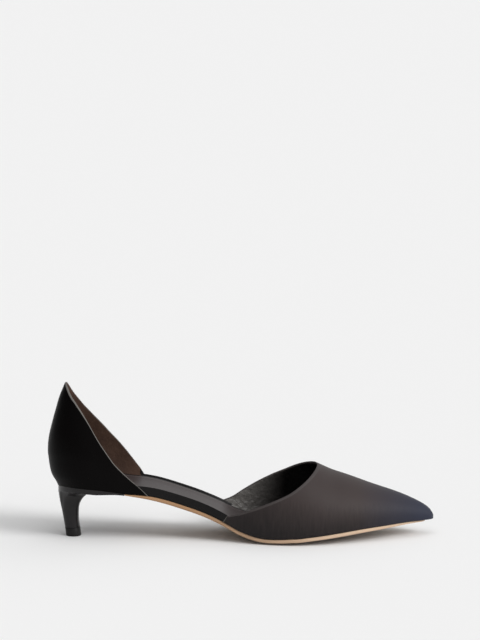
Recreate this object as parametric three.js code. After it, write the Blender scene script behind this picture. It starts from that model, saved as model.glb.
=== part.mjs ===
import * as THREE from "three";

// Kitten heel, right shoe, unbent.
// Millimetres: +X toe, +Y inner side of the foot, +Z up.
// The tables give shares of the named sizes, one row for each station along the shoe.

// Driving sizes
const LENGTH = 260.6;
const BALL_WIDTH = 71;
const SEAT_HEIGHT = 34.1;
const TOE_LIFT = 9.2;
const THROAT_REACH = 182.3;
const THROAT_HEIGHT = 48.6;
const COUNTER_PEAK = 104.1;
const COUNTER_RISE = 70;
const COUNTER_BULGE = 6.6;
const SIDE_BAND = 5.0;

// Leather and board
const UPPER_WALL = 2.0;
const OVERLAY_STEP = 0.5;
const SOLE_THICK = 2.6;
const TREAD_CROWN = 2.1;
const INSOLE_THICK = 3.0;
const SOCK_THICK = 1.6;
const CLEARANCE = 0.3;

// Heel
const HEEL_LIP_REACH = 52.4;
const HEEL_LIP_THICK = 3.3;
const HEEL_LIP_TIP = 1.0;
const BREAST_RADIUS = 12.5;
const TOP_PIECE_HEIGHT = 5.5;
const TOP_PIECE_FLARE = 0.5;
const TOP_PIECE_LEAN = 0.7;

// Rounded ends of the sole outline
const SEAT_RADIUS = 24;
const TOE_RADIUS = 4;
const INNER_TOE_SHIFT = 6.8;
const SOLE_TOE_SETBACK = 5.6;
const INSOLE_TOE_SETBACK = 17;
const SOCK_TOE_SETBACK = 22;

// Bed under the foot: middle of the tread, how far its edges lift, thickness of the sole
const BED = [
  { at: 0.0265, rise: 0.944, spring: 0.000, crown: 0.48, thick: 0.35 },
  { at: 0.0353, rise: 0.985, spring: 0.000, crown: 0.52, thick: 0.35 },
  { at: 0.0537, rise: 1.003, spring: 0.000, crown: 0.52, thick: 0.35 },
  { at: 0.0837, rise: 1.000, spring: 0.000, crown: 0.52, thick: 0.35 },
  { at: 0.1293, rise: 0.974, spring: 0.000, crown: 0.57, thick: 0.35 },
  { at: 0.1700, rise: 0.933, spring: 0.000, crown: 0.62, thick: 0.35 },
  { at: 0.2022, rise: 0.891, spring: 0.000, crown: 0.62, thick: 0.35 },
  { at: 0.2302, rise: 0.853, spring: 0.000, crown: 0.57, thick: 0.62 },
  { at: 0.2540, rise: 0.821, spring: 0.000, crown: 0.52, thick: 0.81 },
  { at: 0.2924, rise: 0.751, spring: 0.000, crown: 0.48, thick: 1.00 },
  { at: 0.3438, rise: 0.630, spring: 0.000, crown: 0.43, thick: 1.04 },
  { at: 0.3949, rise: 0.496, spring: 0.000, crown: 0.38, thick: 1.04 },
  { at: 0.4463, rise: 0.323, spring: 0.000, crown: 0.43, thick: 1.04 },
  { at: 0.4720, rise: 0.217, spring: 0.000, crown: 0.52, thick: 1.04 },
  { at: 0.4977, rise: 0.117, spring: 0.000, crown: 0.57, thick: 1.04 },
  { at: 0.5234, rise: 0.053, spring: 0.000, crown: 0.62, thick: 1.00 },
  { at: 0.5487, rise: 0.012, spring: 0.000, crown: 0.67, thick: 0.96 },
  { at: 0.5679, rise: 0.000, spring: 0.000, crown: 0.69, thick: 0.94 },
  { at: 0.6025, rise: 0.000, spring: 0.000, crown: 0.76, thick: 0.96 },
  { at: 0.6370, rise: 0.000, spring: 0.000, crown: 1.00, thick: 1.00 },
  { at: 0.6754, rise: 0.000, spring: 0.098, crown: 1.05, thick: 1.00 },
  { at: 0.7276, rise: 0.000, spring: 0.272, crown: 1.00, thick: 1.00 },
  { at: 0.8051, rise: 0.000, spring: 0.543, crown: 0.86, thick: 0.96 },
  { at: 0.8826, rise: 0.000, spring: 0.783, crown: 0.57, thick: 0.77 },
  { at: 0.9363, rise: 0.000, spring: 0.924, crown: 0.43, thick: 0.58 },
  { at: 0.9632, rise: 0.000, spring: 0.973, crown: 0.33, thick: 0.42 },
  { at: 1.0000, rise: 0.000, spring: 1.000, crown: 0.24, thick: 0.35 },
];

// Outline of the bed seen from above: half widths and where the middle line lies
const PLAN = [
  { at: 0.0265, lateral: 0.637, medial: 0.631, axis: 0.000 },
  { at: 0.1186, lateral: 0.654, medial: 0.648, axis: 0.000 },
  { at: 0.1688, lateral: 0.662, medial: 0.654, axis: 0.000 },
  { at: 0.2057, lateral: 0.642, medial: 0.631, axis: 0.000 },
  { at: 0.2533, lateral: 0.617, medial: 0.600, axis: 0.000 },
  { at: 0.3070, lateral: 0.597, medial: 0.572, axis: 0.000 },
  { at: 0.3645, lateral: 0.589, medial: 0.552, axis: 0.000 },
  { at: 0.4068, lateral: 0.600, medial: 0.546, axis: 0.000 },
  { at: 0.4463, lateral: 0.648, medial: 0.569, axis: 0.000 },
  { at: 0.4977, lateral: 0.755, medial: 0.645, axis: 0.000 },
  { at: 0.5487, lateral: 0.885, medial: 0.780, axis: 0.000 },
  { at: 0.5986, lateral: 0.969, medial: 0.901, axis: 0.000 },
  { at: 0.6523, lateral: 1.003, medial: 0.969, axis: 0.000 },
  { at: 0.7022, lateral: 0.980, medial: 0.963, axis: 0.003 },
  { at: 0.7521, lateral: 0.904, medial: 0.890, axis: 0.008 },
  { at: 0.8058, lateral: 0.777, medial: 0.761, axis: 0.017 },
  { at: 0.8634, lateral: 0.603, medial: 0.586, axis: 0.031 },
  { at: 0.9210, lateral: 0.400, medial: 0.383, axis: 0.045 },
  { at: 0.9593, lateral: 0.259, medial: 0.248, axis: 0.054 },
  { at: 0.9847, lateral: 0.158, medial: 0.149, axis: 0.056 },
  { at: 1.0000, lateral: 0.113, medial: 0.113, axis: 0.056 },
];

// Highest line of the last over the instep and toes
const RIDGE = [
  { at: 0.3645, high: 1.502 },
  { at: 0.4605, high: 1.451 },
  { at: 0.4988, high: 1.405 },
  { at: 0.5372, high: 1.358 },
  { at: 0.5756, high: 1.296 },
  { at: 0.6140, high: 1.214 },
  { at: 0.6523, high: 1.121 },
  { at: 0.6995, high: 1.000 },
  { at: 0.7368, high: 0.909 },
  { at: 0.7675, high: 0.854 },
  { at: 0.7982, high: 0.796 },
  { at: 0.8300, high: 0.733 },
  { at: 0.8611, high: 0.677 },
  { at: 0.8922, high: 0.623 },
  { at: 0.9236, high: 0.560 },
  { at: 0.9547, high: 0.484 },
  { at: 0.9758, high: 0.422 },
  { at: 0.9889, high: 0.370 },
  { at: 0.9965, high: 0.321 },
  { at: 1.0000, high: 0.276 },
];

// Heel curve of the last: how far the wall stands out at the back and at the sides
const COUNTER = [
  { up: 0.000, back: 0.00, side: 0.00 },
  { up: 0.040, back: 0.18, side: 0.12 },
  { up: 0.099, back: 0.56, side: 0.26 },
  { up: 0.157, back: 0.77, side: 0.33 },
  { up: 0.217, back: 0.88, side: 0.36 },
  { up: 0.276, back: 0.95, side: 0.35 },
  { up: 0.334, back: 1.02, side: 0.29 },
  { up: 0.394, back: 1.00, side: 0.18 },
  { up: 0.453, back: 0.94, side: 0.06 },
  { up: 0.511, back: 0.83, side: -0.09 },
  { up: 0.629, back: 0.52, side: -0.45 },
  { up: 0.746, back: 0.17, side: -0.82 },
  { up: 0.864, back: -0.20, side: -1.21 },
  { up: 1.000, back: -0.79, side: -1.67 },
];

// Edge of the counter, falling from the peak at the back to the side band
const QUARTER_LINE = [
  { at: 0.0468, lateral: 1.000, medial: 1.000 },
  { at: 0.0514, lateral: 0.969, medial: 0.968 },
  { at: 0.0614, lateral: 0.922, medial: 0.920 },
  { at: 0.0748, lateral: 0.883, medial: 0.872 },
  { at: 0.0932, lateral: 0.826, medial: 0.813 },
  { at: 0.1120, lateral: 0.755, medial: 0.761 },
  { at: 0.1358, lateral: 0.655, medial: 0.695 },
  { at: 0.1589, lateral: 0.570, medial: 0.627 },
  { at: 0.1765, lateral: 0.509, medial: 0.578 },
  { at: 0.1938, lateral: 0.463, medial: 0.528 },
  { at: 0.2172, lateral: 0.406, medial: 0.455 },
  { at: 0.2379, lateral: 0.361, medial: 0.390 },
  { at: 0.2536, lateral: 0.327, medial: 0.342 },
  { at: 0.2763, lateral: 0.274, medial: 0.283 },
];

// Edge of the vamp from the side band to the middle of the throat
const THROAT_LATERAL = [
  { run: 0.000, at: 0.6637, high: 0.358 },
  { run: 0.103, at: 0.7054, high: 0.412 },
  { run: 0.240, at: 0.7663, high: 0.502 },
  { run: 0.386, at: 0.8327, high: 0.609 },
  { run: 0.518, at: 0.8936, high: 0.716 },
  { run: 0.688, at: 0.9550, high: 0.870 },
  { run: 0.842, at: 0.9868, high: 0.963 },
  { run: 1.000, at: 1.0000, high: 1.000 },
];

const THROAT_MEDIAL = [
  { run: 0.000, at: 0.6500, high: 0.383 },
  { run: 0.069, at: 0.6791, high: 0.418 },
  { run: 0.190, at: 0.7263, high: 0.525 },
  { run: 0.316, at: 0.7789, high: 0.632 },
  { run: 0.438, at: 0.8316, high: 0.724 },
  { run: 0.556, at: 0.8848, high: 0.809 },
  { run: 0.690, at: 0.9369, high: 0.903 },
  { run: 0.861, at: 0.9819, high: 0.975 },
  { run: 1.000, at: 1.0000, high: 1.000 },
];

// Heel shaft: back and front faces and half width, from under the seat to the top piece
const SHAFT = [
  { down: 0.000, back: 0.0293, front: 0.0920, half: 0.300 },
  { down: 0.170, back: 0.0307, front: 0.0865, half: 0.235 },
  { down: 0.460, back: 0.0347, front: 0.0806, half: 0.194 },
  { down: 0.740, back: 0.0393, front: 0.0794, half: 0.178 },
  { down: 1.000, back: 0.0434, front: 0.0826, half: 0.182 },
];

const HALF_BALL = BALL_WIDTH / 2;
const SEAT_BACK = PLAN[0].at * LENGTH;
const COUNTER_FOOT = 0.2610 * LENGTH;
const COUNTER_SLANT = 6.4;
const BAND_END = 0.4375 * LENGTH;
const VAMP_SLANT = 6.6;
const STEP_RUN = 0.4;
const LOW_SHARE = 0.25;

function clamp(v, low, high) {
  return Math.min(high, Math.max(low, v));
}

function mix(a, b, t) {
  return a + (b - a) * t;
}

function ease(v, low, high) {
  const t = clamp((v - low) / (high - low), 0, 1);
  return t * t * (3 - 2 * t);
}

// Smooth curve through the rows of a table that never overshoots them
function through(rows, across, up, wide = 1, tall = 1) {
  const xs = rows.map((r) => r[across] * wide);
  const ys = rows.map((r) => r[up] * tall);
  const steps = xs.slice(1).map((x, i) => (ys[i + 1] - ys[i]) / (x - xs[i]));
  const slopes = ys.map((_, i) => {
    if (i === 0) return steps[0];
    if (i === ys.length - 1) return steps[i - 1];
    const a = steps[i - 1];
    const b = steps[i];
    return a * b <= 0 ? 0 : (2 * a * b) / (a + b);
  });
  return (x) => {
    const v = clamp(x, xs[0], xs[xs.length - 1]);
    let i = 0;
    while (i < xs.length - 2 && v > xs[i + 1]) i += 1;
    const h = xs[i + 1] - xs[i];
    const t = (v - xs[i]) / h;
    const t2 = t * t;
    const t3 = t2 * t;
    return (2 * t3 - 3 * t2 + 1) * ys[i] + (t3 - 2 * t2 + t) * h * slopes[i]
      + (3 * t2 - 2 * t3) * ys[i + 1] + (t3 - t2) * h * slopes[i + 1];
  };
}

const rise = through(BED, "at", "rise", LENGTH, SEAT_HEIGHT);
const spring = through(BED, "at", "spring", LENGTH, TOE_LIFT);
const crown = through(BED, "at", "crown", LENGTH, TREAD_CROWN);
const soleThick = through(BED, "at", "thick", LENGTH, SOLE_THICK);
const axis = through(PLAN, "at", "axis", LENGTH, HALF_BALL);
const planHalf = {
  lateral: through(PLAN, "at", "lateral", LENGTH, HALF_BALL),
  medial: through(PLAN, "at", "medial", LENGTH, HALF_BALL),
};
const ridgeHigh = through(RIDGE, "at", "high", LENGTH, THROAT_HEIGHT);
const counterBack = through(COUNTER, "up", "back", COUNTER_RISE, COUNTER_BULGE);
const counterSide = through(COUNTER, "up", "side", COUNTER_RISE, COUNTER_BULGE);
const quarterLine = {
  lateral: through(QUARTER_LINE, "at", "lateral", LENGTH, COUNTER_PEAK),
  medial: through(QUARTER_LINE, "at", "medial", LENGTH, COUNTER_PEAK),
};
const throatTables = { lateral: THROAT_LATERAL, medial: THROAT_MEDIAL };
const throatAt = {};
const throatHigh = {};
for (const side of ["lateral", "medial"]) {
  throatAt[side] = through(throatTables[side], "run", "at", 1, THROAT_REACH);
  throatHigh[side] = through(throatTables[side], "run", "high", 1, THROAT_HEIGHT);
}
const sign = { lateral: -1, medial: 1 };

// Tread underside and the bed that the upper, insole and heel seat share; v runs -1 to 1 across
function treadZ(x, v) {
  const edge = clamp((Math.abs(v) - 0.35) / 0.65, 0, 1);
  return rise(x) + spring(x) + crown(x) * edge * edge;
}

function bedZ(x, v) {
  return treadZ(x, v) + soleThick(x);
}

// Half width of the outline at x, rounded at both ends; inset moves it inward
function halfWidth(side, x, inset = 0, toeShift = 0) {
  const flat = planHalf[side](x) - inset;
  const back = clamp((SEAT_BACK + SEAT_RADIUS - x) / (SEAT_RADIUS - inset), 0, 1);
  const tip = LENGTH - toeShift;
  const front = clamp((x - (tip - TOE_RADIUS)) / TOE_RADIUS, 0, 1);
  return Math.max(0, flat) * Math.sqrt(1 - back * back) * Math.sqrt(1 - front * front);
}

// One side of a section of the last, from the feather edge (u = 0) over to the ridge (u = 1)
function sectionPoint(side, x, u, inset, toeShift) {
  const foot = bedZ(x, 1) + CLEARANCE;
  const tall = ridgeHigh(x) - foot;
  const belly = Math.min(0.24 * tall, 11);
  const bulge = Math.min(2.2, 0.05 * tall);
  const half = halfWidth(side, x, inset, toeShift);
  const fade = clamp(half / 3, 0, 1);
  const wide = half + bulge * fade;
  const middle = axis(x);
  if (u <= LOW_SHARE) {
    const k = u / LOW_SHARE;
    const y = half + (wide - half) * (1 - (1 - k) * (1 - k));
    return [x, middle + sign[side] * y, foot + belly * k];
  }
  const turn = ((u - LOW_SHARE) / (1 - LOW_SHARE)) * Math.PI / 2;
  const top = tall - inset - belly;
  return [x, middle + sign[side] * wide * Math.cos(turn), foot + belly + top * Math.sin(turn)];
}

function sectionShare(x, z) {
  const foot = bedZ(x, 1) + CLEARANCE;
  const tall = ridgeHigh(x) - foot;
  const belly = Math.min(0.24 * tall, 11);
  const up = z - foot;
  if (up <= belly) return LOW_SHARE * clamp(up / belly, 0, 1);
  const turn = Math.asin(clamp((up - belly) / (tall - belly), 0, 1));
  return LOW_SHARE + (1 - LOW_SHARE) * turn / (Math.PI / 2);
}

// Counter wall: the seat outline carried up with the curve of the heel of the last
function counterPoint(side, station, up, inset) {
  const fan = station.fan;
  const run = SEAT_RADIUS - inset;
  const lean = station.lean * clamp(up / station.rise, 0, 1);
  const x0 = fan === null ? station.x + lean : SEAT_BACK + SEAT_RADIUS - run * Math.cos(fan);
  const wide = planHalf[side](x0) - inset;
  const nx = fan === null ? 0 : -Math.cos(fan);
  const ny = fan === null ? 1 : Math.sin(fan);
  const out = counterBack(up) * nx * nx + counterSide(up) * ny * ny;
  const y0 = fan === null ? wide : wide * Math.sin(fan);
  const outerX = fan === null ? x0 : SEAT_BACK + SEAT_RADIUS * (1 - Math.cos(fan));
  const own = bedZ(x0, 1) + CLEARANCE;
  const outer = bedZ(outerX, 1) + CLEARANCE;
  const foot = mix(own, outer, ease(up, 0, 0.3 * COUNTER_RISE));
  return [x0 + nx * out, axis(x0) + sign[side] * (y0 + ny * out), foot + up];
}

// Height of the counter edge above the feather line for a station of the heel part
function counterTop(side, station) {
  let low = 0;
  let high = COUNTER_RISE * 1.2;
  for (let i = 0; i < 40; i += 1) {
    const up = (low + high) / 2;
    const p = counterPoint(side, { ...station, rise: up }, up, 0);
    if (p[2] < quarterLine[side](p[0])) low = up;
    else high = up;
  }
  return Math.max(low, SIDE_BAND);
}

// Stations of one side of the upper, from the back seam to the toe tip; lean tilts a rib at its top
function upperStations(side) {
  const list = [];
  const heel = (fan, x, lean) => {
    const station = { part: "counter", fan: fan, x: x, lean: lean, rise: 1 };
    station.rise = counterTop(side, station);
    list.push(station);
  };
  for (const deg of [0, 6, 13, 21, 30, 40, 51, 63, 76]) heel(deg * Math.PI / 180, null, 0);
  const fanEnd = SEAT_BACK + SEAT_RADIUS;
  const quarter = 9;
  for (let i = 0; i <= quarter; i += 1) {
    const x = mix(fanEnd, COUNTER_FOOT, i / quarter);
    heel(null, x, -COUNTER_SLANT * ease(x, 0.16 * LENGTH, COUNTER_FOOT));
  }
  const band = 9;
  for (let i = 0; i <= band; i += 1) {
    const x = mix(COUNTER_FOOT + STEP_RUN, BAND_END, i / band);
    const lean = mix(-COUNTER_SLANT, VAMP_SLANT, i / band);
    list.push({ part: "band", fan: null, x: x, lean: lean, rise: SIDE_BAND });
  }
  const vamp = 22;
  const start = BAND_END + STEP_RUN;
  const end = LENGTH - TOE_RADIUS;
  for (let i = 0; i <= vamp; i += 1) {
    list.push({ part: "vamp", fan: null, x: mix(start, end, i / vamp) });
  }
  for (const deg of [22, 45, 68, 90]) {
    const x = end + TOE_RADIUS * Math.sin(deg * Math.PI / 180);
    list.push({ part: "vamp", fan: null, x: x });
  }
  const first = list.findIndex((s) => s.part === "vamp");
  let length = 0;
  let last = null;
  for (const s of list.slice(first)) {
    const p = sectionPoint(side, s.x, 0, 0, 0);
    if (last) length += Math.hypot(p[0] - last[0], p[1] - last[1]);
    s.run = length;
    last = p;
  }
  for (const s of list.slice(first)) s.run /= length;
  return list;
}

// One point of the upper: t runs from the feather edge (0) to the topline (1)
function upperPoint(side, s, t, inset, toeShift) {
  if (s.part === "counter") {
    return counterPoint(side, s, s.rise * t, inset);
  }
  if (s.part === "band") {
    const near = counterPoint(side, s, SIDE_BAND * t, inset + OVERLAY_STEP);
    const x = near[0];
    const u = sectionShare(x, bedZ(x, 1) + CLEARANCE + SIDE_BAND * t);
    const far = sectionPoint(side, x, u, inset + OVERLAY_STEP, toeShift);
    const blend = ease(x, 0.31 * LENGTH, 0.44 * LENGTH);
    return [x, mix(near[1], far[1], blend), near[2]];
  }
  const shift = toeShift * ((s.x - BAND_END) / (LENGTH - BAND_END)) ** 4;
  const from = s.x - shift;
  const toX = throatAt[side](s.run);
  const bandTop = bedZ(toX, 1) + CLEARANCE + SIDE_BAND;
  const toZ = Math.max(throatHigh[side](s.run), bandTop);
  const toU = s.run >= 1 ? 1 : sectionShare(toX, toZ);
  const toe = s.run ** 3;
  const along = mix(t, clamp((t - 0.16) / 0.84, 0, 1), toe);
  const over = mix(t, 1 - (1 - clamp(t / 0.3, 0, 1)) ** 2, toe);
  return sectionPoint(side, mix(from, toX, along), toU * over, inset, toeShift);
}

// Closed meshes from lists of points and faces
class Body {
  constructor() {
    this.points = [];
    this.faces = [];
  }

  point(p) {
    this.points.push(p);
    return this.points.length - 1;
  }

  quad(a, b, c, d) {
    this.faces.push([a, b, c], [a, c, d]);
  }

  // Rings of equal length joined one to the next
  tube(rings) {
    for (let r = 0; r + 1 < rings.length; r += 1) {
      const n = rings[r].length;
      for (let i = 0; i < n; i += 1) {
        const j = (i + 1) % n;
        this.quad(rings[r][i], rings[r][j], rings[r + 1][j], rings[r + 1][i]);
      }
    }
  }

  cap(ring, center, flip) {
    const c = this.point(center);
    ring.forEach((a, i) => {
      const b = ring[(i + 1) % ring.length];
      this.faces.push(flip ? [c, b, a] : [c, a, b]);
    });
  }

  mesh(name, look, move) {
    const placed = this.points.flatMap((p) => [p[0] + move[0], p[1] + move[1], p[2] + move[2]]);
    const flat = new Float32Array(placed);
    const shape = new THREE.BufferGeometry();
    shape.setAttribute("position", new THREE.BufferAttribute(flat, 3));
    shape.setIndex(this.faces.flat());
    shape.computeVertexNormals();
    const material = new THREE.MeshStandardMaterial(look);
    const made = new THREE.Mesh(shape, material);
    made.name = name;
    return made;
  }
}

// Upper: outer and inner walls on the same loop of stations, joined at the feather and the topline
function makeUpper() {
  const body = new Body();
  const rows = 13;
  const lateral = upperStations("lateral").map((s) => ["lateral", s]);
  const medial = upperStations("medial").map((s) => ["medial", s]).slice(1, -1).reverse();
  const loop = [...lateral, ...medial];
  const wall = (inset, toeShift) => {
    const rings = [];
    for (let k = 0; k <= rows; k += 1) {
      rings.push(loop.map(([side, s]) => body.point(upperPoint(side, s, k / rows, inset, toeShift))));
    }
    return rings;
  };
  const outer = wall(0, 0);
  const inner = wall(UPPER_WALL, INNER_TOE_SHIFT).reverse();
  body.tube([...outer, ...inner, outer[0]]);
  return body;
}

// Stations of a plate between two x positions with rounded ends
function plateStations(from, to, backRound, frontRound) {
  const list = [];
  const turn = [5, 12, 21, 32, 45, 60, 76];
  if (backRound > 0) {
    for (const deg of turn) list.push(from + backRound * (1 - Math.cos(deg * Math.PI / 180)));
  }
  const a = from + backRound;
  const b = to - frontRound;
  const n = Math.round((b - a) / (LENGTH * 0.027));
  for (let i = 0; i <= n; i += 1) list.push(mix(a, b, i / n));
  if (frontRound > 0) {
    for (const deg of [...turn].reverse()) {
      list.push(to - frontRound * (1 - Math.cos(deg * Math.PI / 180)));
    }
  }
  return list;
}

// Plate on the bed: rows of points over and under, closed round the edge
function makePlate(xs, halves, over, under) {
  const body = new Body();
  const cols = [-1, -0.84, -0.6, -0.35, 0, 0.35, 0.6, 0.84, 1];
  const sheet = (height) => xs.map((x) => cols.map((v) => {
    const side = v < 0 ? "lateral" : "medial";
    return body.point([x, axis(x) + v * halves(side, x), height(x, v)]);
  }));
  const top = sheet(over);
  const low = sheet(under);
  for (let i = 0; i + 1 < xs.length; i += 1) {
    for (let j = 0; j + 1 < cols.length; j += 1) {
      body.quad(top[i][j], top[i + 1][j], top[i + 1][j + 1], top[i][j + 1]);
      body.quad(low[i][j], low[i][j + 1], low[i + 1][j + 1], low[i + 1][j]);
    }
  }
  body.tube([edgeLoop(low), edgeLoop(top)]);
  return body;
}

// Border of a grid of points, seen from above against the clock
function edgeLoop(grid) {
  const last = grid.length - 1;
  const wide = grid[0].length - 1;
  const right = grid.map((row) => row[0]);
  const front = grid[last].slice(1);
  const left = grid.slice(0, last).reverse().map((row) => row[wide]);
  const back = grid[0].slice(1, wide).reverse();
  return [...right, ...front, ...left, ...back];
}

function makeOutsole() {
  const from = HEEL_LIP_REACH + CLEARANCE;
  const to = LENGTH - SOLE_TOE_SETBACK;
  const round = 3;
  const halves = (side, x) => {
    const k = clamp((x - (to - round)) / round, 0, 1);
    const shy = mix(0, 1.2, ease(x, 0.84 * LENGTH, to));
    return (halfWidth(side, x) - shy) * Math.sqrt(1 - k * k);
  };
  return makePlate(plateStations(from, to, 0, round), halves, bedZ, treadZ);
}

// Insole board and sock lining: plates inside the wall of the upper
function liningPlate(backInset, sideInset, setback, lift, thick) {
  const from = SEAT_BACK + backInset;
  const to = LENGTH - setback;
  const backRound = SEAT_RADIUS - backInset;
  const frontRound = 5;
  const halves = (side, x) => {
    const back = clamp((from + backRound - x) / backRound, 0, 1);
    const front = clamp((x - (to - frontRound)) / frontRound, 0, 1);
    const flat = planHalf[side](x) - sideInset;
    return flat * Math.sqrt(1 - back * back) * Math.sqrt(1 - front * front);
  };
  const under = (x, v) => bedZ(x, v) + lift;
  const over = (x, v) => bedZ(x, v) + lift + thick;
  return makePlate(plateStations(from, to, backRound, frontRound), halves, over, under);
}

function makeInsole() {
  const inset = UPPER_WALL + OVERLAY_STEP + CLEARANCE;
  return liningPlate(inset, inset, INSOLE_TOE_SETBACK, CLEARANCE, INSOLE_THICK);
}

function makeSock() {
  const inset = UPPER_WALL + OVERLAY_STEP + CLEARANCE + 0.5;
  const lift = 2 * CLEARANCE + INSOLE_THICK;
  return liningPlate(inset, inset, SOCK_TOE_SETBACK, lift, SOCK_THICK);
}

// Loop round the heel shaft, matched to the shares of the seat border
function shaftLoop(shares, back, front, half, z) {
  const cx = (back + front) / 2;
  const rx = (front - back) / 2;
  return shares.map((share) => {
    const a = Math.PI + share * 2 * Math.PI;
    const c = Math.cos(a);
    const s = Math.sin(a);
    const px = Math.sign(c) * Math.abs(c) ** 0.8 * rx;
    const py = Math.sign(s) * Math.abs(s) ** 0.8 * half;
    return [cx + px, py, z];
  });
}

function makeHeel() {
  const body = new Body();
  const cols = [-1, -0.84, -0.6, -0.35, 0, 0.35, 0.6, 0.84, 1];
  const xs = plateStations(SEAT_BACK + 0.2, HEEL_LIP_REACH, SEAT_RADIUS - 0.2, 0);
  const grid = xs.map((x) => cols.map((v) => {
    const side = v < 0 ? "lateral" : "medial";
    return body.point([x, axis(x) + v * (halfWidth(side, x, 0.1)), bedZ(x, v)]);
  }));
  for (let i = 0; i + 1 < xs.length; i += 1) {
    for (let j = 0; j + 1 < cols.length; j += 1) {
      body.quad(grid[i][j], grid[i + 1][j], grid[i + 1][j + 1], grid[i][j + 1]);
    }
  }
  const border = edgeLoop(grid);
  const seat = border.map((i) => body.points[i]);
  const lengths = [0];
  for (let i = 1; i <= seat.length; i += 1) {
    const a = seat[i - 1];
    const b = seat[i % seat.length];
    lengths.push(lengths[i - 1] + Math.hypot(b[0] - a[0], b[1] - a[1]));
  }
  const total = lengths[seat.length];
  const offset = total - lengths[seat.length - (cols.length - 1) / 2];
  const shares = lengths.slice(0, seat.length).map((l) => (l + offset) / total);
  const lipStart = SEAT_BACK + SEAT_RADIUS;
  const lip = (x) => mix(HEEL_LIP_THICK, HEEL_LIP_TIP, ease(x, lipStart, HEEL_LIP_REACH));
  const under = seat.map((p) => p[2] - lip(p[0]));
  const filletTop = SEAT_HEIGHT - HEEL_LIP_THICK;
  const filletLow = filletTop - BREAST_RADIUS;
  const bottom = TOP_PIECE_HEIGHT + CLEARANCE;
  const tall = filletTop - bottom;
  const back = through(SHAFT, "down", "back", tall, LENGTH);
  const front = through(SHAFT, "down", "front", tall, LENGTH);
  const half = through(SHAFT, "down", "half", tall, HALF_BALL);
  const shaftAt = (z) => {
    const d = filletTop - z;
    return shaftLoop(shares, back(d), front(d), half(d), z);
  };
  const rings = [border];
  rings.push(seat.map((p, i) => body.point([p[0], p[1], under[i]])));
  const foot = shaftAt(filletLow);
  const gap = seat.map((p, i) => Math.hypot(p[0] - foot[i][0], p[1] - foot[i][1]));
  const near = seat.map((p, i) => {
    const k = Math.min(1, BREAST_RADIUS / gap[i]);
    const z = mix(under[i], filletTop, gap[i] > BREAST_RADIUS ? 0.6 : 0);
    return [mix(foot[i][0], p[0], k), mix(foot[i][1], p[1], k), z];
  });
  rings.push(near.map((p, i) => body.point([mix(p[0], seat[i][0], 0.45), mix(p[1], seat[i][1], 0.45),
    mix(p[2], under[i], 0.45) - (gap[i] > BREAST_RADIUS ? 0 : 0.35)])));
  for (const deg of [10, 25, 40, 55, 72, 90]) {
    const a = deg * Math.PI / 180;
    rings.push(near.map((p, i) => {
      const straight = Math.cos(a);
      const round = 1 - Math.sin(a);
      const k = mix(straight, round, clamp(gap[i] / 8, 0, 1));
      const z = mix(filletLow, p[2], Math.cos(a));
      const target = shaftAt(z)[i];
      const base = [mix(foot[i][0], target[0], 1 - clamp(gap[i] / 8, 0, 1)), foot[i][1]];
      return body.point([mix(base[0], p[0], k), mix(base[1], p[1], k), z]);
    }));
  }
  for (const t of [0.33, 0.66, 1]) {
    rings.push(shaftAt(mix(filletLow, bottom, t)).map((p) => body.point(p)));
  }
  rings.reverse();
  body.tube(rings);
  const sole = rings[0];
  const mid = [(back(tall) + front(tall)) / 2, 0, bottom];
  body.cap(sole, mid, true);
  return body;
}

function makeTopPiece() {
  const body = new Body();
  const n = 32;
  const shares = Array.from({ length: n }, (_, i) => i / n);
  const last = SHAFT[SHAFT.length - 1];
  const loop = (grow, z) => {
    const lean = TOP_PIECE_LEAN * (1 - z / TOP_PIECE_HEIGHT);
    const back = last.back * LENGTH + lean;
    const front = last.front * LENGTH + Math.max(grow, lean);
    return shaftLoop(shares, back, front, last.half * HALF_BALL + grow, z).map((p) => body.point(p));
  };
  const half = TOP_PIECE_HEIGHT / 2;
  const rings = [loop(TOP_PIECE_FLARE, 0), loop(TOP_PIECE_FLARE * 0.6, half), loop(0, TOP_PIECE_HEIGHT)];
  body.tube(rings);
  const cx = (last.back + last.front) / 2 * LENGTH;
  body.cap(rings[0], [cx, 0, 0], true);
  body.cap(rings[2], [cx, 0, TOP_PIECE_HEIGHT], false);
  return body;
}

const parts = [
  ["upper", makeUpper(), { color: 0x2b2829, roughness: 0.62, metalness: 0 }],
  ["outsole", makeOutsole(), { color: 0xc09a76, roughness: 0.55, metalness: 0 }],
  ["insole", makeInsole(), { color: 0x2a2526, roughness: 0.6, metalness: 0 }],
  ["sock_lining", makeSock(), { color: 0x4a4245, roughness: 0.5, metalness: 0 }],
  ["heel", makeHeel(), { color: 0x2a2827, roughness: 0.35, metalness: 0 }],
  ["top_piece", makeTopPiece(), { color: 0x1a1919, roughness: 0.5, metalness: 0 }],
];

// The frame: middle of the footprint on the floor
const low = [Infinity, Infinity, Infinity];
const high = [-Infinity, -Infinity, -Infinity];
for (const [, body] of parts) {
  for (const p of body.points) {
    for (let k = 0; k < 3; k += 1) {
      low[k] = Math.min(low[k], p[k]);
      high[k] = Math.max(high[k], p[k]);
    }
  }
}
const move = [-(low[0] + high[0]) / 2, -(low[1] + high[1]) / 2, -low[2]];

const shoe = new THREE.Group();
shoe.name = "kitten_heel";
for (const [name, body, look] of parts) shoe.add(body.mesh(name, look, move));

export default shoe;
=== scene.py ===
# %% [markdown]
# # A kitten heel in satin and leather
# The shoe was built as solids first: a hollow upper, an insole board, a sock lining, a thin sole, a heel and
# its top piece. This lesson dresses that frame. It rebuilds the curved skins at a finer step from the tables
# of the last, rounds their edges, gives every piece a material worked out from real sizes, and sets up a
# quiet studio. Lengths inside the lesson are millimetres; they turn into metres when a mesh is made.

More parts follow.
